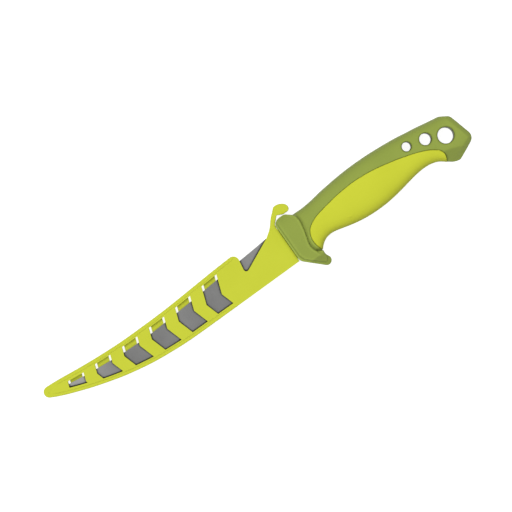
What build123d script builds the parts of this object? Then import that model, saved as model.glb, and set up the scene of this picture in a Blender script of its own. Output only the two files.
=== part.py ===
from build123d import *
import math
import os

os.makedirs("parts", exist_ok=True)

# The knife lies on its side in its sheath. While it is modelled, x is zero at the front face of the
# guard and grows towards the butt, y grows towards the spine of the blade, and z is square to the
# flat of the blade, with zero in its middle. Shares are of the length that their comment names.

# Driving dimensions in millimetres
blade_length = 165.7
blade_height = 21.0
blade_thickness = 2.0
handle_length = 126.8
grip_height = 30.8
grip_width = 21.2
guard_depth = 16.4
guard_height = 40.2
guard_width = 23.0
overrun = 5.0

# Blade
heel_depth = 3.0
bevel_thickness = 0.6
edge_thickness = 0.14
bevel_share = 0.035
distal_taper_share = 0.5
# Each row gives a place from heel to point as a share of the blade's length, then the height of the
# spine and of the edge as shares of its height at the heel.
blade_shares = [
    (0.000, 0.662, -0.352),
    (0.058, 0.624, -0.352),
    (0.176, 0.543, -0.352),
    (0.285, 0.467, -0.354),
    (0.406, 0.388, -0.362),
    (0.526, 0.319, -0.362),
    (0.593, 0.288, -0.336),
    (0.647, 0.281, -0.280),
    (0.710, 0.291, -0.200),
    (0.768, 0.320, -0.106),
    (0.828, 0.357, 0.018),
    (0.888, 0.405, 0.178),
    (0.949, 0.468, 0.355),
    (1.000, 0.521, 0.495),
]

# Tang, hidden in the handle
tang_length = 78.0
tang_height = 12.0
tang_end_height = 8.0
tang_middle = 5.2
tang_hole_radius = 2.2
tang_hole_count = 3
tang_hole_pitch = 22.0
first_tang_hole = 20.0

# Handle: each row gives a place as a share of the handle's length, then the height of the spine side
# and of the belly as shares of the grip's height, and the thickness as a share of the grip's width.
handle_shares = [
    (0.112, 0.515, -0.405, 0.826),
    (0.125, 0.515, -0.350, 0.824),
    (0.142, 0.514, -0.284, 0.821),
    (0.164, 0.519, -0.232, 0.822),
    (0.200, 0.533, -0.209, 0.842),
    (0.243, 0.562, -0.240, 0.887),
    (0.298, 0.592, -0.296, 0.934),
    (0.369, 0.622, -0.345, 0.981),
    (0.448, 0.640, -0.360, 1.000),
    (0.527, 0.641, -0.338, 1.000),
    (0.621, 0.622, -0.271, 0.962),
    (0.700, 0.592, -0.214, 0.925),
    (0.763, 0.556, -0.213, 0.906),
    (0.811, 0.529, -0.279, 0.915),
    (0.858, 0.496, -0.425, 0.943),
    (0.894, 0.473, -0.476, 0.962),
    (0.929, 0.452, -0.460, 0.972),
    (0.968, 0.429, -0.420, 0.972),
    (1.016, 0.400, -0.360, 0.962),
]
section_fullness_share = 0.72
grip_wall = 3.0
grip_proud = 0.2

# Butt: its outline seen from the side, in shares of the handle's length and the grip's height
butt_corner_shares = [(0.9054, 0.503), (0.970, 0.334), (1.0095, -0.253), (0.8864, -0.500)]
butt_spine_radius = 4.0
butt_heel_radius = 5.0
butt_edge_radius = 2.2
facet_start_shares = (0.826, -0.130)
facet_slope = 48.0
facet_turn = -18.0
facet_height_share = 0.88
neck_root = 10.0

# Lanyard holes: place along and across in shares of the handle's length and the grip's height
lanyard_hole_shares = [(0.7195, 0.328), (0.8125, 0.238), (0.9015, 0.072)]
lanyard_hole_radii = [2.85, 3.65, 4.95]

# Grip edge seen from the side, in shares of the handle's length and the grip's height
grip_edge_shares = [
    (0.1167, -0.373),
    (0.110, -0.294),
    (0.104, -0.161),
    (0.109, -0.025),
    (0.1285, 0.102),
    (0.170, 0.205),
    (0.235, 0.272),
    (0.314, 0.328),
    (0.400, 0.357),
    (0.472, 0.352),
    (0.551, 0.312),
    (0.630, 0.245),
    (0.708, 0.160),
    (0.772, 0.070),
    (0.821, -0.036),
    (0.845, -0.140),
    (0.8475, -0.260),
    (0.840, -0.345),
]
grip_belly_shares = [(0.830, -0.700), (0.137, -0.700), (0.133, -0.420)]
grip_key_radius = 1.8
grip_key_pitch = 14.0
grip_key_count = 3
first_grip_key = 40.0
grip_key_drop = 3.4

# Guard, seen from the side, in shares of its depth and height
lip_width = 1.4
lip_drop = 1.2
guard_edge_radius = 0.7
guard_top_shares = [(0.000, 0.385), (0.045, 0.430), (0.140, 0.460), (0.290, 0.472), (0.430, 0.472)]
guard_crown_shares = [(0.430, 0.472), (0.540, 0.456), (0.625, 0.428), (0.700, 0.404), (0.785, 0.368)]
guard_ridge_shares = [
    (0.785, 0.368),
    (0.835, 0.272),
    (0.793, 0.154),
    (0.723, 0.035),
    (0.652, -0.060),
    (0.622, -0.129),
    (0.652, -0.201),
    (0.710, -0.261),
]
guard_hook_shares = [
    (0.930, -0.306),
    (0.920, -0.362),
    (0.955, -0.403),
    (1.000, -0.445),
    (0.970, -0.492),
    (0.895, -0.520),
    (0.805, -0.527),
    (0.700, -0.508),
]
guard_chin_shares = [(0.085, -0.270), (0.030, -0.236), (0.000, -0.200)]
cheek_tip_shares = [
    (0.710, -0.261),
    (0.793, -0.321),
    (0.866, -0.356),
    (0.900, -0.410),
    (0.830, -0.455),
    (0.715, -0.452),
]
cheek_chin_shares = [(0.177, -0.258), (0.088, -0.162)]
# Guard seen from the front: height as a share of its height, thickness as a share of its width
guard_front_shares = [
    (0.500, 0.40),
    (0.425, 0.74),
    (0.320, 0.91),
    (0.170, 0.985),
    (0.000, 1.00),
    (-0.150, 0.975),
    (-0.280, 0.88),
    (-0.400, 0.69),
    (-0.480, 0.52),
    (-0.545, 0.30),
]

# Sheath
mouth_gap = 0.2
sheath_tip_room = 5.5
sheath_margin = 2.9
blade_clearance = 0.3
sheath_wall = 1.4
panel_rise = 0.15
panel_margin = 2.1
panel_run = 0.6
panel_belly_share = 0.3
panel_nose_radius = 0.5
rim_radius = 0.5
sheath_length = blade_length + sheath_tip_room - mouth_gap
sheath_height = blade_height + 2 * sheath_margin
sheath_half = blade_thickness / 2 + blade_clearance + sheath_wall
# Outline from the mouth to the tip, in shares of the sheath's length and height
sheath_back_shares = [
    (0.1955, 0.610),
    (0.250, 0.591),
    (0.320, 0.561),
    (0.410, 0.519),
    (0.500, 0.484),
    (0.585, 0.469),
    (0.672, 0.463),
    (0.760, 0.484),
    (0.850, 0.524),
    (0.936, 0.577),
    (0.980, 0.592),
]
sheath_nose_shares = [(0.980, 0.592), (1.000, 0.474), (0.988, 0.345)]
sheath_belly_shares = [
    (0.988, 0.345),
    (0.965, 0.273),
    (0.906, 0.124),
    (0.848, -0.003),
    (0.789, -0.113),
    (0.731, -0.207),
    (0.672, -0.280),
    (0.614, -0.335),
    (0.555, -0.368),
    (0.497, -0.389),
    (0.409, -0.392),
    (0.321, -0.384),
    (0.204, -0.371),
    (0.087, -0.358),
    (0.000, -0.349),
]
shoulder_shares = [(0.1715, 0.468), (0.1768, 0.560), (0.1955, 0.610)]
notch_shares = [(0.0492, 0.494), (0.1806, 0.0914), (0.1715, 0.468)]
notch_radius = 1.7
# Root of the latch: place along in shares of the sheath's length, and height in shares of the way from
# the blade's spine at its heel to the guard's peak
latch_root_shares = [(0.000, 0.250), (0.0293, 0.3555)]
pocket_bend_share = 0.19

# Windows: the first one and the pitch in shares of the sheath's length, then the kink of each chevron,
# with its height as a share of the sheath's height
window_width = 11.2
first_window_share = 0.356
window_pitch_share = 0.1128
window_kink_shares = [0.039, 0.093, 0.110, 0.153, 0.183, 0.187]
window_lean_share = 0.35
window_lower_lean_share = 0.315
window_margin = 3.0
end_window_margin = 3.7
slit_width = 1.45
ledge_cover = 2.0

# Latch: the hook arm, in shares of its length and height from the outer end of its root. The height is
# set so that the underside of the bulb clears the guard's peak by the gap.
latch_length = 17.9
latch_gap = 0.28
latch_back_shares = [(0.000, 0.000), (0.140, 0.226), (0.324, 0.585), (0.458, 0.788), (0.564, 0.967)]
latch_bulb_shares = [
    (0.564, 0.967),
    (0.670, 1.000),
    (0.810, 0.945),
    (0.950, 0.790),
    (1.010, 0.590),
    (0.985, 0.420),
    (0.900, 0.335),
]
latch_under_shares = [(0.900, 0.335), (0.725, 0.335), (0.525, 0.495)]
latch_inner_shares = [(0.525, 0.495), (0.408, 0.302), (0.306, 0.132)]
guard_peak = guard_crown_shares[0][1] * guard_height
heel_spine = blade_shares[0][1] * blade_height
latch_root_height = heel_spine + latch_root_shares[1][1] * (guard_peak - heel_spine)
latch_height = (guard_peak + latch_gap - latch_root_height) / latch_under_shares[0][1]


def placed(shares, length, height, start=(0, 0)):
    """Points of an outline on the side plane from shares of a length and a height."""
    return [(start[0] + along * length, start[1] + up * height) for along, up in shares]


def prism(face, bottom, top):
    """Solid between two heights over a flat outline."""
    return extrude(Pos(0, 0, bottom) * face, amount=top - bottom, dir=(0, 0, 1))


def outline(*curves):
    """Face inside a closed run of curves."""
    return make_face(Wire([edge for curve in curves for edge in curve.edges()]))


# Blade and tang
def blade_section(place, spine, edge):
    """Section of the ground blade square to its length, with the small bevel at the edge."""
    x = -place * blade_length
    top = spine * blade_height
    low = edge * blade_height
    bevel = low + bevel_share * (top - low)
    thin = 1 - distal_taper_share * max(place, 0)
    spine_half = blade_thickness / 2 * thin
    bevel_half = bevel_thickness / 2 * thin
    edge_half = edge_thickness / 2
    corners = [(top, spine_half), (bevel, bevel_half), (low, edge_half)]
    left = [(x, y, z) for y, z in corners]
    right = [(x, y, -z) for y, z in reversed(corners)]
    return Wire.make_polygon(left + right, close=True)


def make_blade():
    """Ground blade with a flat tang whose holes let the plastic grip it."""
    heel = blade_shares[0]
    rows = [(-heel_depth / blade_length, heel[1], heel[2])] + blade_shares
    ground = Solid.make_loft([blade_section(*row) for row in rows])
    front_low = tang_middle - tang_height / 2
    front_high = tang_middle + tang_height / 2
    end_low = tang_middle - tang_end_height / 2
    end_high = tang_middle + tang_end_height / 2
    corners = [(0, front_low), (0, front_high), (tang_length, end_high), (tang_length, end_low)]
    plate = prism(make_face(Polyline(corners, close=True)), -blade_thickness / 2, blade_thickness / 2)
    for index in range(tang_hole_count):
        place = first_tang_hole + index * tang_hole_pitch
        plate -= Pos(place, tang_middle, 0) * Cylinder(tang_hole_radius, 2 * blade_thickness)
    return ground + plate


# Handle
def handle_section(place, spine, belly, width, inset):
    """Rounded section of the handle, four Bezier quarters, inset all round by a wall."""
    x = place * handle_length
    top = spine * grip_height - inset
    low = belly * grip_height + inset
    half = width * grip_width / 2 - inset
    middle = (top + low) / 2
    reach = (top - low) / 2
    full = section_fullness_share
    corners = [(top, 0), (middle, half), (low, 0), (middle, -half)]
    bends = [
        ((top, full * half), (middle + full * reach, half)),
        ((middle - full * reach, half), (low, full * half)),
        ((low, -full * half), (middle - full * reach, -half)),
        ((middle + full * reach, -half), (top, -full * half)),
    ]
    quarters = []
    for index in range(len(corners)):
        start = corners[index]
        end = corners[(index + 1) % len(corners)]
        points = [start, bends[index][0], bends[index][1], end]
        quarters.append(Bezier(*[(x, y, z) for y, z in points]))
    return Wire(quarters)


def handle_form(inset):
    """Form of the handle: lofted from the neck to past the butt, with a plain root inside the guard."""
    sections = [handle_section(*row, inset) for row in handle_shares]
    root = extrude(make_face(sections[0]), amount=neck_root, dir=(-1, 0, 0))
    return Solid.make_loft(sections) + root


def butt_keep():
    """Prism that the butt is cut to: its end slopes, with two rounded corners."""
    a, b, c, d = placed(butt_corner_shares, handle_length, grip_height)
    high = (a[0], grip_height)
    low = (d[0], -grip_height)
    corner_radii = [0, butt_spine_radius, butt_heel_radius, 0]
    path = FilletPolyline([high, a, b, c, d, low], radius=corner_radii)
    back = Polyline([low, (-overrun, -grip_height), (-overrun, grip_height), high])
    return prism(outline(path, back), -grip_width, grip_width)


def grip_region():
    """Prism over the part of the handle that the soft grip covers."""
    edge = Spline(placed(grip_edge_shares, handle_length, grip_height))
    belly = placed(grip_belly_shares, handle_length, grip_height)
    below = Polyline([edge @ 1] + belly + [edge @ 0])
    return prism(outline(edge, below), -grip_width, grip_width)


# Guard
def guard_outline():
    """Guard seen from the side: front face, crown, rear ridge, finger hook and chin."""
    top = Spline(placed(guard_top_shares, guard_depth, guard_height))
    crown = Spline(placed(guard_crown_shares, guard_depth, guard_height))
    ridge = Spline(placed(guard_ridge_shares, guard_depth, guard_height))
    hook = Spline(placed(guard_hook_shares, guard_depth, guard_height))
    chin = Spline(placed(guard_chin_shares, guard_depth, guard_height))
    links = [Line(ridge @ 1, hook @ 0), Line(hook @ 1, chin @ 0), Line(chin @ 1, top @ 0)]
    return outline(top, crown, ridge, links[0], hook, links[1], chin, links[2])


def guard_front(drop):
    """Guard seen from the front, run through its depth: widest in the middle, narrow at the ends."""
    halves = [(share * guard_width / 2 - drop, up * guard_height) for up, share in guard_front_shares]
    right = Spline([(guard_depth, y, z) for z, y in halves])
    left = Spline([(guard_depth, y, -z) for z, y in halves])
    face = make_face(Wire([right, Line(right @ 1, left @ 1), left, Line(left @ 0, right @ 0)]))
    return extrude(face, amount=guard_depth + overrun, dir=(-1, 0, 0))


def cheek_region():
    """Prism over the raised cheek of the guard, inside the lip along its front and chin."""
    tip = Spline(placed(cheek_tip_shares, guard_depth, guard_height))
    chin = placed(cheek_chin_shares, guard_depth, guard_height)
    high = guard_height
    far = guard_depth + overrun
    rest = Polyline([tip @ 1] + chin + [(lip_width, high), (far, high), (far, (tip @ 0).Y), tip @ 0])
    return prism(outline(tip, rest), -guard_width, guard_width)


def make_guard():
    """Guard plate with its raised cheeks."""
    side = prism(guard_outline(), -guard_width, guard_width)
    plate = side & guard_front(lip_drop)
    cheeks = side & guard_front(0) & cheek_region()
    rims = [edge for edge in cheeks.edges() if abs(edge.center().Z) > guard_width / 4]
    cheeks = fillet(rims, guard_edge_radius)
    return plate + cheeks


def butt_facet(side):
    """Block that cuts the slanted facet under the butt on one side, from the end of the grip on."""
    along, up = facet_start_shares
    lean = math.radians(facet_slope)
    turn = math.radians(facet_turn)
    start = (along * handle_length, up * grip_height, side * facet_height_share * grip_width / 2)
    run = (math.cos(turn), math.sin(turn), 0)
    out = (math.sin(turn) * math.sin(lean), -math.cos(turn) * math.sin(lean), side * math.cos(lean))
    block = Box(grip_height, 2 * grip_height, grip_width, align=(Align.MIN, Align.CENTER, Align.MIN))
    return Plane(origin=start, x_dir=run, z_dir=out) * block


def make_butt(form):
    """Form cut to the butt's outline, its cut edges rounded and its lower corner faceted."""
    body = form & butt_keep()
    limit = butt_corner_shares[0][0] * handle_length
    rims = [edge for edge in body.edges() if edge.center().X > limit]
    body = fillet(rims, butt_edge_radius)
    return body - butt_facet(1) - butt_facet(-1)


def grip_keys():
    """Pegs of soft plastic that run through the web below the tang."""
    keys = []
    for index in range(grip_key_count):
        place = first_grip_key + index * grip_key_pitch
        keys.append(Pos(place, -grip_key_drop, 0) * Cylinder(grip_key_radius, grip_width - grip_wall))
    return keys


def make_handle(blade):
    """Hard core with the guard, cut to the tang, and the soft grip over its web."""
    region = grip_region()
    web = handle_form(grip_wall)
    body = make_butt(handle_form(0)) + make_guard()
    core = (body - region) + (web & region)
    grip = (handle_form(-grip_proud) & region) - web
    for key in grip_keys():
        core -= key
        grip += key
    for place, radius in zip(placed(lanyard_hole_shares, handle_length, grip_height), lanyard_hole_radii):
        core -= Pos(*place, 0) * Cylinder(radius, 2 * grip_width)
    return core - blade, grip


# Sheath
def from_mouth(shares):
    """Points of the sheath's side outline, measured from its mouth towards its tip."""
    return placed(shares, -sheath_length, sheath_height, (-mouth_gap, 0))


def latch_root():
    """Inner and outer end of the latch's root at the mouth."""
    return placed(latch_root_shares, -sheath_length, guard_peak - heel_spine, (-mouth_gap, heel_spine))


def sheath_outline():
    """Sheath seen from the side, with its V notch and the root of the latch."""
    back = Spline(from_mouth(sheath_back_shares))
    nose = ThreePointArc(*from_mouth(sheath_nose_shares))
    belly = Spline(from_mouth(sheath_belly_shares))
    shoulder = ThreePointArc(*from_mouth(shoulder_shares))
    root = latch_root()
    notch = from_mouth(notch_shares)
    mouth = Line(belly @ 1, root[0])
    slope = FilletPolyline([root[0], root[1]] + notch, radius=[0, 0, notch_radius])
    return outline(mouth, slope, shoulder, back, nose, belly)


def sheath_blank(margin, free_share=0):
    """Sheath outline drawn in by a margin, with no notch, and run on past the mouth. The belly is drawn
    out instead of in from the mouth to the free share of the length."""
    back = [(x, y - margin) for x, y in from_mouth(sheath_back_shares[:-1])]
    belly_shares = sheath_belly_shares[1:]
    signs = [1 if along > free_share else -1 for along, up in belly_shares]
    belly = [(x, y + sign * margin) for sign, (x, y) in zip(signs, from_mouth(belly_shares))]
    tip = from_mouth(sheath_nose_shares)[1]
    nose = FilletPolyline([back[-1], (tip[0] + margin, tip[1]), belly[0]], radius=panel_nose_radius)
    end = Polyline([belly[-1], (overrun, belly[-1][1]), (overrun, sheath_height), back[0]])
    return outline(end, Spline(back), nose, Spline(belly))


def pocket():
    """Space for the blade, wide enough for its upswept point to be drawn straight out."""
    lowest = min(edge for place, spine, edge in blade_shares)
    turn = max(place for place, spine, edge in blade_shares if edge == lowest)
    point = blade_shares[-1][1] * blade_height + blade_clearance
    heel = heel_spine + blade_clearance
    curve = [(-place * blade_length, edge * blade_height - blade_clearance)
             for place, spine, edge in blade_shares if place >= turn]
    under = Spline(curve)
    end = -blade_length - 2 * blade_clearance
    bend = (-pocket_bend_share * blade_length, point)
    rest = Polyline([under @ 1, (end, (under @ 1).Y), (end, point), bend, (0, heel), (overrun, heel),
                     (overrun, (under @ 0).Y), under @ 0])
    half = blade_thickness / 2 + blade_clearance
    return prism(outline(under, rest), -half, half)


def window_start(index):
    """Place along the sheath of the kink at the tip side of a window."""
    return -(first_window_share + index * window_pitch_share) * sheath_length


def chevron(index, inset):
    """Band shaped like a chevron that points to the tip, narrowed by an inset at each side."""
    kink_y = window_kink_shares[index] * sheath_height
    left = window_start(index) + inset
    right = left + window_width - 2 * inset
    upper = window_lean_share * sheath_height
    lower = window_lower_lean_share * sheath_height
    high = kink_y + sheath_height
    low = kink_y - sheath_height
    corners = [(left, kink_y), (left + upper, high), (right + upper, high)]
    corners += [(right, kink_y), (right + lower, low), (left + lower, low)]
    return make_face(Polyline(corners, close=True))


def spine_height(x):
    """Height of the blade's spine at a place along the sheath."""
    for near, far in zip(blade_shares, blade_shares[1:]):
        if near[0] <= -x / blade_length <= far[0]:
            part = (-x / blade_length - near[0]) / (far[0] - near[0])
            return (near[1] + part * (far[1] - near[1])) * blade_height
    return blade_shares[-1][1] * blade_height


def window_frames():
    """Outline that each window stops at; the last one keeps a wider frame."""
    count = len(window_kink_shares)
    return [sheath_blank(window_margin)] * (count - 1) + [sheath_blank(end_window_margin)]


def rounded_rim(face, place, sharp_count):
    """Edges of a face that are rounded: all but the few nearest to a place, which stay sharp."""
    point = Vector(*place, face.center().Z)
    return face.edges().sort_by_distance(point)[sharp_count:]


def raised_panel():
    """Low panel with a sloped border on the face of a shell; near the mouth it runs out over the belly."""
    low = Pos(0, 0, sheath_half) * sheath_blank(panel_margin - panel_run / 2, panel_belly_share)
    high = Pos(0, 0, sheath_half + panel_rise) * sheath_blank(panel_margin + panel_run / 2, panel_belly_share)
    return loft([low, high], ruled=True)


def make_front_shell():
    """Front half of the sheath with its pocket, raised panel and windows; its mouth stays sharp."""
    panel_top = sheath_half + panel_rise
    side = sheath_outline()
    shell = prism(side, 0, sheath_half)
    shell = fillet(rounded_rim(shell.faces().sort_by(Axis.Z)[-1], latch_root()[0], 2), rim_radius)
    panel = raised_panel() & prism(side, 0, panel_top)
    shell = shell + panel - pocket()
    for index, frame in enumerate(window_frames()):
        shell -= prism(chevron(index, 0) & frame, 0, panel_top + overrun)
    return shell


def make_ledges():
    """Small ledges of the rear half that back the blade's spine between two slits."""
    ledges = []
    for index, frame in enumerate(window_frames()):
        middle = window_start(index) + window_width / 2
        low = spine_height(middle) - ledge_cover
        above = Pos(middle, low + sheath_height / 2) * Rectangle(2 * window_width, sheath_height)
        face = chevron(index, slit_width) & frame & above
        ledges.append(prism(face, -sheath_half, sheath_wall - sheath_half))
    return ledges


def make_rear_shell(front):
    """Rear half: the mirror of the front, with a ledge in each window."""
    shell = mirror(front, about=Plane.XY)
    for ledge in make_ledges():
        shell += ledge
    return shell


def make_latch():
    """Hook arm that snaps over the guard, on a living hinge at the mouth's upper corner."""
    root = latch_root()
    size = (latch_length, latch_height, root[1])
    back = Spline(placed(latch_back_shares, *size))
    bulb = Spline(placed(latch_bulb_shares, *size))
    under = Polyline(placed(latch_under_shares, *size))
    inner = Spline(placed(latch_inner_shares, *size))
    face = outline(back, bulb, under, inner, Line(inner @ 1, root[0]), Line(root[0], root[1]))
    arm = prism(face, -sheath_half, sheath_half)
    faces = arm.faces().sort_by(Axis.Z)
    joint = ((root[0][0] + root[1][0]) / 2, (root[0][1] + root[1][1]) / 2)
    return fillet(rounded_rim(faces[0], joint, 1) + rounded_rim(faces[-1], joint, 1), rim_radius)


# Assembly, moved so that the lowest side lies on the ground and the whole box is centred over zero
blade = make_blade()
handle_core, grip_overmould = make_handle(blade)
sheath_front_shell = make_front_shell()
sheath_rear_shell = make_rear_shell(sheath_front_shell)
sheath_latch = make_latch()
pieces = {
    "blade": blade,
    "handle_core": handle_core,
    "grip_overmould": grip_overmould,
    "sheath_front_shell": sheath_front_shell,
    "sheath_rear_shell": sheath_rear_shell,
    "sheath_latch": sheath_latch,
}
whole = Compound(children=[shape.solid() for shape in pieces.values()]).bounding_box()
middle = whole.center()
rest = Pos(-middle.X, -middle.Y, -whole.min.Z)
for name, shape in pieces.items():
    export_step(rest * shape.solid(), os.path.join("parts", name + ".step"))
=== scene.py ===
import math

import bmesh
import bpy
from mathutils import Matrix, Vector


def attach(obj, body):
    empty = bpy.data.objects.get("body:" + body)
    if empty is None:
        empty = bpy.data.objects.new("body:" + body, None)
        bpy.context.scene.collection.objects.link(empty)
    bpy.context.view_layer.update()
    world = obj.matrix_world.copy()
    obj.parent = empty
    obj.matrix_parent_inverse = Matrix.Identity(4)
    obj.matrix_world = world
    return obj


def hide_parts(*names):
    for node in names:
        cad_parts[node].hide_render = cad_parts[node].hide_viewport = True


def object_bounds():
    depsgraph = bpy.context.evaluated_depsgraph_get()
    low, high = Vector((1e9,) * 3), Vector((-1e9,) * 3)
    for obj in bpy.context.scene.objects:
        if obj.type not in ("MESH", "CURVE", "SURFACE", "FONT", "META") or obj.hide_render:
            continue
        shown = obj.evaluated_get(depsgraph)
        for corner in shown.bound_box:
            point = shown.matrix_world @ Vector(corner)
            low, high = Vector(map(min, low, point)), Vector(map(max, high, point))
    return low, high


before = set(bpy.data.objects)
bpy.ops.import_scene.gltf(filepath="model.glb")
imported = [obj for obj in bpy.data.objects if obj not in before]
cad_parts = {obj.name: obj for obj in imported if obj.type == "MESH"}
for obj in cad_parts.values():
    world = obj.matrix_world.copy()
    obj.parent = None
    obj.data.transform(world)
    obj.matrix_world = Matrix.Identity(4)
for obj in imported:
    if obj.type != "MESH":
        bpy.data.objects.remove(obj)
cad_low, cad_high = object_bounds()


# Camera
# The knife lies on its side in its sheath. The camera looks straight down on it from far off, turned
# so that the point of the blade is at the lower left.
picture_width = 0.3066
camera_height = 2.70
blade_turn = -35.0
aim = (0.00223, 0.00556)
sensor_width = 36.0
farthest_seen = 20.0

middle_z = (cad_low.z + cad_high.z) / 2
eye = bpy.data.cameras.new("eye")
eye.sensor_width = sensor_width
eye.lens = sensor_width * camera_height / picture_width
eye.clip_end = farthest_seen
camera = bpy.data.objects.new("camera", eye)
camera.location = (*aim, camera_height + middle_z)
camera.rotation_euler = (0.0, 0.0, math.radians(blade_turn))
bpy.context.scene.collection.objects.link(camera)
bpy.context.scene.camera = camera
bpy.context.scene.view_settings.view_transform = "Standard"


# Light and floor
# A wide soft lamp hangs nearly above the knife, a little to the spine's side, and pale surroundings
# fill the rest. The floor is a plain sheet of white paper that keeps a faint shadow.
lamp_strength = 2.55
lamp_spread = 40.0
lamp_from = (-0.10, 0.12, 1.0)
fill_strength = 0.22
white = (1.0, 1.0, 1.0, 1.0)
paper_width = 6.0
paper_colour = (0.42, 0.42, 0.42, 1.0)
paper_roughness = 0.9
paper_glow = 0.87

sun = bpy.data.lights.new("soft_lamp", "SUN")
sun.energy = lamp_strength
sun.angle = math.radians(lamp_spread)
lamp = bpy.data.objects.new("soft_lamp", sun)
lamp.rotation_euler = Vector(lamp_from).to_track_quat("Z", "Y").to_euler()
lamp.visible_glossy = False
bpy.context.scene.collection.objects.link(lamp)


def seen_directly(tree):
    """Socket that is 1 where the eye, a mirror or a lens looks straight at a surface."""
    path = tree.nodes.new("ShaderNodeLightPath")
    seen = path.outputs["Is Camera Ray"]
    for ray in ("Is Glossy Ray", "Is Transmission Ray"):
        either = tree.nodes.new("ShaderNodeMath")
        either.operation = "MAXIMUM"
        tree.links.new(seen, either.inputs[0])
        tree.links.new(path.outputs[ray], either.inputs[1])
        seen = either.outputs[0]
    return seen


def carried(tree, value, source, target):
    """Socket with a value carried over from one range to another and held at its ends."""
    node = tree.nodes.new("ShaderNodeMapRange")
    node.inputs["From Min"].default_value, node.inputs["From Max"].default_value = source
    node.inputs["To Min"].default_value, node.inputs["To Max"].default_value = target
    tree.links.new(value, node.inputs["Value"])
    return node.outputs["Result"]


world = bpy.data.worlds.new("surroundings")
world.use_nodes = True
bpy.context.scene.world = world
sky = world.node_tree
background = sky.nodes["Background"]
background.inputs["Color"].default_value = white
level = carried(sky, seen_directly(sky), (0.0, 1.0), (fill_strength, 1.0))
sky.links.new(level, background.inputs["Strength"])

form = bmesh.new()
bmesh.ops.create_grid(form, x_segments=1, y_segments=1, size=paper_width / 2)
floor_mesh = bpy.data.meshes.new("floor")
form.to_mesh(floor_mesh)
form.free()
floor = bpy.data.objects.new("floor", floor_mesh)
bpy.context.scene.collection.objects.link(floor)

paper = bpy.data.materials.new("white_paper")
paper.use_nodes = True
sheet = paper.node_tree
surface = sheet.nodes["Principled BSDF"]
surface.inputs["Base Color"].default_value = paper_colour
surface.inputs["Roughness"].default_value = paper_roughness
surface.inputs["Emission Color"].default_value = white
glow = carried(sheet, seen_directly(sheet), (0.0, 1.0), (0.0, paper_glow))
sheet.links.new(glow, surface.inputs["Emission Strength"])
floor_mesh.materials.append(paper)


# Sheath
# Two thin moulded halves of lime plastic, semi matt with a fine grain, and at the mouth the springy
# arm of the latch, of the same plastic. Painted shade darkens it in the step down to the blade and
# along the sloping edge of the raised panel.
sheath_light = (204, 211, 64)
sheath_dark = (197, 204, 58)
sheath_roughness = 0.42
sheath_grain = (2600.0, 0.00003)
# Painted shade in the sheath's hollows: how far it reaches and how dark it gets.
sheath_hollow_shade = (0.0022, 0.8)
# Painted shade along the sloping edge of the raised panel: the upward share of that slope and how dark it is
# painted.
panel_edge_lean = (0.970, 0.008)
panel_edge_shade = 0.87
plastic_gloss = 0.14
cloud_scale = 60.0
cloud_detail = 3.0
grain_detail = 2.0
grain_strength = 0.5
hollow_samples = 8
hollow_openness = (0.45, 0.95)


def tint(red, green, blue):
    """Linear colour for a shader from channels of 0 to 255 on the sRGB curve."""
    shares = [channel / 255 for channel in (red, green, blue)]
    linear = [share / 12.92 if share <= 0.04045 else ((share + 0.055) / 1.055) ** 2.4 for share in shares]
    return (*linear, 1.0)


def mottle(tree, where, scale, detail):
    """Socket with soft spots of a scale, between 0 and 1."""
    node = tree.nodes.new("ShaderNodeTexNoise")
    node.inputs["Scale"].default_value = scale
    node.inputs["Detail"].default_value = detail
    tree.links.new(where, node.inputs["Vector"])
    return node.outputs["Fac"]


def blended(tree, first, second, share, way="MIX"):
    """Socket with two colours put together by a share. Each may be a value or a socket."""
    node = tree.nodes.new("ShaderNodeMix")
    node.data_type = "RGBA"
    node.blend_type = way
    for name, value in (("Factor", share), ("A", first), ("B", second)):
        if isinstance(value, bpy.types.NodeSocket):
            tree.links.new(value, node.inputs[name])
        else:
            node.inputs[name].default_value = value
    return node.outputs["Result"]


def times(tree, colour, share, where=1.0):
    """Socket with a colour multiplied by a share, all over or only where the last value says."""
    return blended(tree, colour, share, where, "MULTIPLY")


def openness(tree, reach, inside=False):
    """Socket that falls from 1 in hollows of a reach, or on outer edges where it looks inside."""
    node = tree.nodes.new("ShaderNodeAmbientOcclusion")
    node.samples = hollow_samples
    node.inside = inside
    node.inputs["Distance"].default_value = reach
    return node.outputs["AO"]


def leaning(tree, place, lean, allowance):
    """Socket that is 1 where the upward share of a surface's direction is close to a value."""
    direction = tree.nodes.new("ShaderNodeSeparateXYZ")
    tree.links.new(place.outputs["Normal"], direction.inputs["Vector"])
    upward = tree.nodes.new("ShaderNodeMath")
    upward.operation = "ABSOLUTE"
    tree.links.new(direction.outputs["Z"], upward.inputs[0])
    close = tree.nodes.new("ShaderNodeMath")
    close.operation = "COMPARE"
    close.inputs[1].default_value = lean
    close.inputs[2].default_value = allowance
    tree.links.new(upward.outputs[0], close.inputs[0])
    return close.outputs[0]


def roughen(tree, height, depth, strength):
    """Gives a finish a fine relief from a height socket."""
    bump = tree.nodes.new("ShaderNodeBump")
    bump.inputs["Distance"].default_value = depth
    bump.inputs["Strength"].default_value = strength
    tree.links.new(height, bump.inputs["Height"])
    tree.links.new(bump.outputs["Normal"], tree.nodes["Principled BSDF"].inputs["Normal"])


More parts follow.
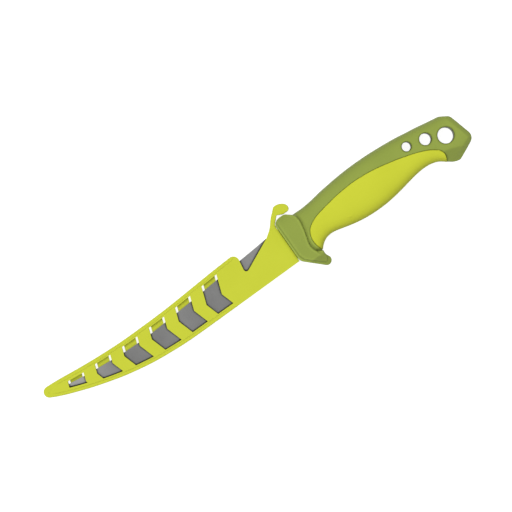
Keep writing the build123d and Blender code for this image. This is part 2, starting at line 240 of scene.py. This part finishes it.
def plastic(name, light, dark, roughness, grain, hollow):
    """Moulded plastic: a faint cloud of two tints, a fine grain, and painted shade in the hollows."""
    material = bpy.data.materials.new(name)
    material.use_nodes = True
    tree = material.node_tree
    shader = tree.nodes["Principled BSDF"]
    shader.inputs["Roughness"].default_value = roughness
    shader.inputs["Specular IOR Level"].default_value = plastic_gloss
    place = tree.nodes.new("ShaderNodeTexCoord")
    cloud = mottle(tree, place.outputs["Object"], cloud_scale, cloud_detail)
    colour = blended(tree, tint(*dark), tint(*light), cloud)
    # Painted shade: the colour darkens in hollows, where shade falls.
    reach, shade = hollow
    hollow_painted_shade = carried(tree, openness(tree, reach), hollow_openness, (shade, 1.0))
    tree.links.new(times(tree, colour, hollow_painted_shade), shader.inputs["Base Color"])
    scale, depth = grain
    roughen(tree, mottle(tree, place.outputs["Object"], scale, grain_detail), depth, grain_strength)
    return material


def colour_so_far(tree):
    """Socket that a finish's colour comes from, for another layer to go over it."""
    return tree.nodes["Principled BSDF"].inputs["Base Color"].links[0].from_socket


def recolour(tree, colour):
    """Makes a socket a finish's colour."""
    tree.links.new(colour, tree.nodes["Principled BSDF"].inputs["Base Color"])


def dress(node, material):
    """Gives a node of the frame its finish."""
    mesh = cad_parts[node].data
    mesh.materials.clear()
    mesh.materials.append(material)


sheath_lime = plastic("sheath_lime", sheath_light, sheath_dark, sheath_roughness, sheath_grain, sheath_hollow_shade)
tree = sheath_lime.node_tree
# Painted shade on the faces that lean like the panel's sloping edge.
panel_edge = leaning(tree, tree.nodes.new("ShaderNodeTexCoord"), *panel_edge_lean)
panel_edge_painted_shade = (panel_edge_shade, panel_edge_shade, panel_edge_shade, 1.0)
recolour(tree, times(tree, colour_so_far(tree), panel_edge_painted_shade, panel_edge))
dress("sheath_front_shell", sheath_lime)
dress("sheath_rear_shell", sheath_lime)
dress("sheath_latch", sheath_lime)


# Blade
# Satin stainless steel, ground across its width, so that fine streaks run from spine to edge. A
# painted sheen brightens it towards the heel and the point, a painted highlight lights the honed
# bevel, and a painted shadow darkens it close under the sheath's edges.
steel_light = (0.245, 0.245, 0.24255, 1.0)
steel_dark = (0.195, 0.195, 0.19305, 1.0)
steel_roughness = 0.34
streak_scale = 9000.0
streak_stretch = (1.0, 0.03, 0.03)
streak_detail = 2.0
streak_depth = 0.000004
streak_strength = 1.0
sheen_scale = 45.0
sheen_detail = 2.0
sheen_gain = ((0.3, 0.7), (0.88, 1.12))
# Painted sheen towards the point and the heel: where along the blade it rises and how bright.
point_painted_sheen = ((-0.093, -0.135), (1.0, 1.8))
heel_painted_sheen = ((-0.040, 0.0), (1.0, 1.25))
# Painted shadow on the steel close under the sheath's edges: how far it reaches and how dark it gets.
rim_shadow_reach = 0.0017
rim_painted_shadow = ((0.60, 0.92), (0.03, 1.0))
# Painted highlight on the honed bevel, and the lean of the faces it is painted on.
honed_painted_highlight = (0.50, 0.50, 0.50, 1.0)
honed_lean = (0.956, 0.012)

steel = bpy.data.materials.new("satin_steel")
steel.use_nodes = True
tree = steel.node_tree
shader = tree.nodes["Principled BSDF"]
shader.inputs["Metallic"].default_value = 1.0
shader.inputs["Roughness"].default_value = steel_roughness
place = tree.nodes.new("ShaderNodeTexCoord")
stretch = tree.nodes.new("ShaderNodeMapping")
stretch.inputs["Scale"].default_value = streak_stretch
tree.links.new(place.outputs["Object"], stretch.inputs["Vector"])
streaks = mottle(tree, stretch.outputs["Vector"], streak_scale, streak_detail)
sheen = mottle(tree, place.outputs["Object"], sheen_scale, sheen_detail)
along = tree.nodes.new("ShaderNodeSeparateXYZ")
tree.links.new(place.outputs["Object"], along.inputs["Vector"])
ground = blended(tree, steel_dark, steel_light, streaks)
# The streaked ground is multiplied by soft random spots of sheen, by the painted sheen towards the point and
# the heel, and by the painted shadow close under the sheath's edges.
for value, gain in (
    (sheen, sheen_gain),
    (along.outputs["X"], point_painted_sheen),
    (along.outputs["X"], heel_painted_sheen),
    (openness(tree, rim_shadow_reach), rim_painted_shadow),
):
    ground = times(tree, ground, carried(tree, value, *gain))
# Painted highlight on the honed bevel, found by the lean of its faces.
recolour(tree, blended(tree, ground, honed_painted_highlight, leaning(tree, place, *honed_lean)))
roughen(tree, streaks, streak_depth, streak_strength)
dress("blade", steel)


# Handle core
# Hard olive plastic, moulded in one piece round the tang. The guard's cheek falls off in a soft
# ridge, its hook has a low crest, the butt's end is bevelled, and the lanyard holes have rounded
# mouths. Painted shade darkens its hollows and the walls and rims of the lanyard holes, and a
# painted highlight lightens the guard's outer edges.
core_voxel = 0.00030
core_keep = 0.42
core_rounds = 2
smoothing_step = 0.5
weld = 0.000001
web_half = 0.003
# The places below are in millimetres from the middle of the guard's front face, along and up.
mm_per_m = 1000
guard_face = (0.0220683, -0.0025545)
ridge_end = 17.0
ridge_line = [(12.9, 14.8), (13.75, 10.95), (13.0, 6.2), (11.85, 1.4), (10.7, -2.4), (10.2, -5.2), (10.7, -8.1),
              (11.6, -10.5), (13.0, -12.9), (14.2, -14.3)]
ridge_reach = 1.6
ridge_rounds = 14
hook_end = 20.0
hook_shares = [(-21.5, -0.24), (-18.0, -0.15), (-16.0, -0.06), (-13.4, 0.09), (-12.0, 0.055), (-10.0, 0.02),
               (-8.0, 0.0)]
butt_start = 105.0
butt_rim = [(123.0, 10.3), (128.0, -7.8), (112.4, -15.4)]
butt_bevel_width = 2.8
butt_bevel_share = 0.21
facet_line = [(107.5, -4.8), (112.0, -6.1), (116.0, -7.2), (120.0, -8.6), (124.0, -9.8)]
facet_reach = 1.8
facet_rounds = 12
holes = [((91.23, 10.10), 2.85), ((103.03, 7.33), 3.65), ((114.31, 2.22), 4.95)]
mouth_reach = 0.8
mouth_rounds = 3
mouth_width = 1.1
mouth_share = 0.08
# Painted shade on the walls and rims of the lanyard holes: its width and how dark it gets.
mouth_shade_width = 0.6
mouth_shade = 0.42
core_light = (149, 164, 75)
core_dark = (141, 157, 71)
core_roughness = 0.46
core_grain = (3000.0, 0.00004)
# Painted shade in the core's hollows: how far it reaches and how dark it gets.
core_hollow_shade = (0.0022, 0.35)
# Painted highlight on the guard's outer edges: how far it reaches, how bright, and where it ends along the
# handle.
edge_highlight_reach = 0.0018
edge_highlight_gain = ((0.65, 0.98), (1.4, 1.0))
edge_highlight_end = ((0.034, 0.037), (1.0, 0.0))


def bake(piece):
    """Makes the result of a piece's modifiers its own mesh."""
    scene = bpy.context.evaluated_depsgraph_get()
    mesh = bpy.data.meshes.new_from_object(piece.evaluated_get(scene))
    piece.modifiers.clear()
    piece.data = mesh


def fine_copy(name, node, voxel, rounds):
    """Even fine copy of a node's mesh under a new name, its edges softened, and its form to shape."""
    form = bmesh.new()
    form.from_mesh(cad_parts[node].data)
    bmesh.ops.remove_doubles(form, verts=form.verts, dist=weld)
    mesh = bpy.data.meshes.new(name)
    form.to_mesh(mesh)
    form.free()
    piece = bpy.data.objects.new(name, mesh)
    bpy.context.scene.collection.objects.link(piece)
    even = piece.modifiers.new("even", "REMESH")
    even.mode = "VOXEL"
    even.voxel_size = voxel
    bake(piece)
    form = bmesh.new()
    form.from_mesh(piece.data)
    soften(form, form.verts, rounds)
    return piece, form


def soften(form, verts, rounds):
    """Rounds off a stretch of a form a little with each round."""
    for _ in range(rounds):
        bmesh.ops.smooth_vert(form, verts=verts, factor=smoothing_step, use_axis_x=True, use_axis_y=True,
                              use_axis_z=True)


def complete(piece, form, keep, material):
    """Puts a shaped form back in its piece, thins it to a share of its faces and gives it a finish."""
    for face in form.faces:
        face.smooth = True
    form.to_mesh(piece.data)
    form.free()
    thin = piece.modifiers.new("thin", "DECIMATE")
    thin.ratio = keep
    bake(piece)
    piece.data.materials.append(material)


def from_guard(point):
    """Place of a point in millimetres along and up from the middle of the guard's front face."""
    return Vector(((point.x - guard_face[0]) * mm_per_m, (point.y - guard_face[1]) * mm_per_m))


def distance_to(place, line):
    """Shortest distance from a place to a run of straight stretches."""
    best = math.inf
    for start, end in zip(line, line[1:]):
        corner = Vector(start)
        along = Vector(end) - corner
        share = min(max((place - corner).dot(along) / along.length_squared, 0.0), 1.0)
        best = min(best, (place - corner - share * along).length)
    return best


def distance_to_mouth(place, centre, radius):
    """Distance from a place to the rim of a lanyard hole."""
    return abs((place - Vector(centre)).length - radius)


def read_off(profile, where):
    """Value of a profile of straight stretches at a place along it."""
    for (start, low), (end, high) in zip(profile, profile[1:]):
        if where <= end:
            return low + (high - low) * max(where - start, 0.0) / (end - start)
    return profile[-1][1]


def core_thickening(place):
    """Share by which the core is thicker at a place than the plain moulding."""
    if place.x < hook_end:
        return read_off(hook_shares, place.y)
    bevel = 0.0
    if place.x > butt_start:
        bevel = butt_bevel_share * max(1.0 - distance_to(place, butt_rim) / butt_bevel_width, 0.0)
    for centre, radius in holes:
        bevel += mouth_share * max(1.0 - distance_to_mouth(place, centre, radius) / mouth_width, 0.0)
    return -bevel


def rounds_at(place):
    """Rounds of smoothing for a place near the ridge, the facet's line or a hole's mouth."""
    if place.x < ridge_end:
        return ridge_rounds if distance_to(place, ridge_line) < ridge_reach else 0
    for centre, radius in holes:
        if distance_to_mouth(place, centre, radius) < mouth_reach:
            return mouth_rounds
    if place.x > butt_start and distance_to(place, facet_line) < facet_reach:
        return facet_rounds
    return 0


def paint_edge_highlights(material):
    """Paints a highlight on the outer edges of the guard, lightening the finish where the rounded edges catch
    the light.
    """
    tree = material.node_tree
    colour = colour_so_far(tree)
    gain = carried(tree, openness(tree, edge_highlight_reach, inside=True), *edge_highlight_gain)
    place = tree.nodes.new("ShaderNodeTexCoord")
    along = tree.nodes.new("ShaderNodeSeparateXYZ")
    tree.links.new(place.outputs["Object"], along.inputs["Vector"])
    recolour(tree, times(tree, colour, gain, carried(tree, along.outputs["X"], *edge_highlight_end)))


def shade_mouths(material):
    """Paints shade on the walls and turned-in rims of the lanyard holes, darkening the finish where shade
    falls.
    """
    tree = material.node_tree
    colour = colour_so_far(tree)
    place = tree.nodes.new("ShaderNodeTexCoord")
    parts = tree.nodes.new("ShaderNodeSeparateXYZ")
    tree.links.new(place.outputs["Object"], parts.inputs["Vector"])
    flat = tree.nodes.new("ShaderNodeCombineXYZ")
    tree.links.new(parts.outputs["X"], flat.inputs["X"])
    tree.links.new(parts.outputs["Y"], flat.inputs["Y"])
    for (along, up), radius in holes:
        away = tree.nodes.new("ShaderNodeVectorMath")
        away.operation = "DISTANCE"
        away.inputs[1].default_value = (guard_face[0] + along / mm_per_m, guard_face[1] + up / mm_per_m, 0.0)
        tree.links.new(flat.outputs["Vector"], away.inputs[0])
        wall = (radius / mm_per_m, (radius + mouth_shade_width) / mm_per_m)
        colour = times(tree, colour, carried(tree, away.outputs["Value"], wall, (mouth_shade, 1.0)))
    recolour(tree, colour)


core_olive = plastic("core_olive", core_light, core_dark, core_roughness, core_grain, core_hollow_shade)
# Painted highlight on the guard's outer edges, then painted shade on the walls and rims of the lanyard holes.
paint_edge_highlights(core_olive)
shade_mouths(core_olive)
core, form = fine_copy("handle_core_moulding", "handle_core", core_voxel, core_rounds)
stretches = {}
for vert in form.verts:
    place = from_guard(vert.co)
    vert.co.z += (vert.co.z - middle_z) * core_thickening(place)
    if abs(vert.co.z - middle_z) > web_half:
        stretches.setdefault(rounds_at(place), []).append(vert)
for rounds, verts in stretches.items():
    soften(form, verts, rounds)
complete(core, form, core_keep, core_olive)
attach(core, "knife")
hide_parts("handle_core")


# Grip
# Soft lime rubber moulded over both faces and the belly of the core's web, a little proud of it and
# matt, with a fine stipple. Its surface rolls down gently to the butt. Painted shade darkens it in
# its hollows.
grip_voxel = 0.00040
grip_keep = 0.40
grip_rounds = 3
roll_start = 88.0
roll_end = 107.0
roll_share = 0.10
grip_light = (207, 213, 62)
grip_dark = (199, 205, 56)
grip_roughness = 0.62
grip_grain = (2400.0, 0.00007)
# Painted shade in the grip's hollows: how far it reaches and how dark it gets.
grip_hollow_shade = (0.0035, 0.55)

grip_lime = plastic("grip_lime", grip_light, grip_dark, grip_roughness, grip_grain, grip_hollow_shade)
grip, form = fine_copy("grip_rubber", "grip_overmould", grip_voxel, grip_rounds)
for vert in form.verts:
    along = max(from_guard(vert.co).x - roll_start, 0.0) / (roll_end - roll_start)
    vert.co.z -= (vert.co.z - middle_z) * roll_share * along ** 2
complete(grip, form, grip_keep, grip_lime)
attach(grip, "knife")
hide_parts("grip_overmould")
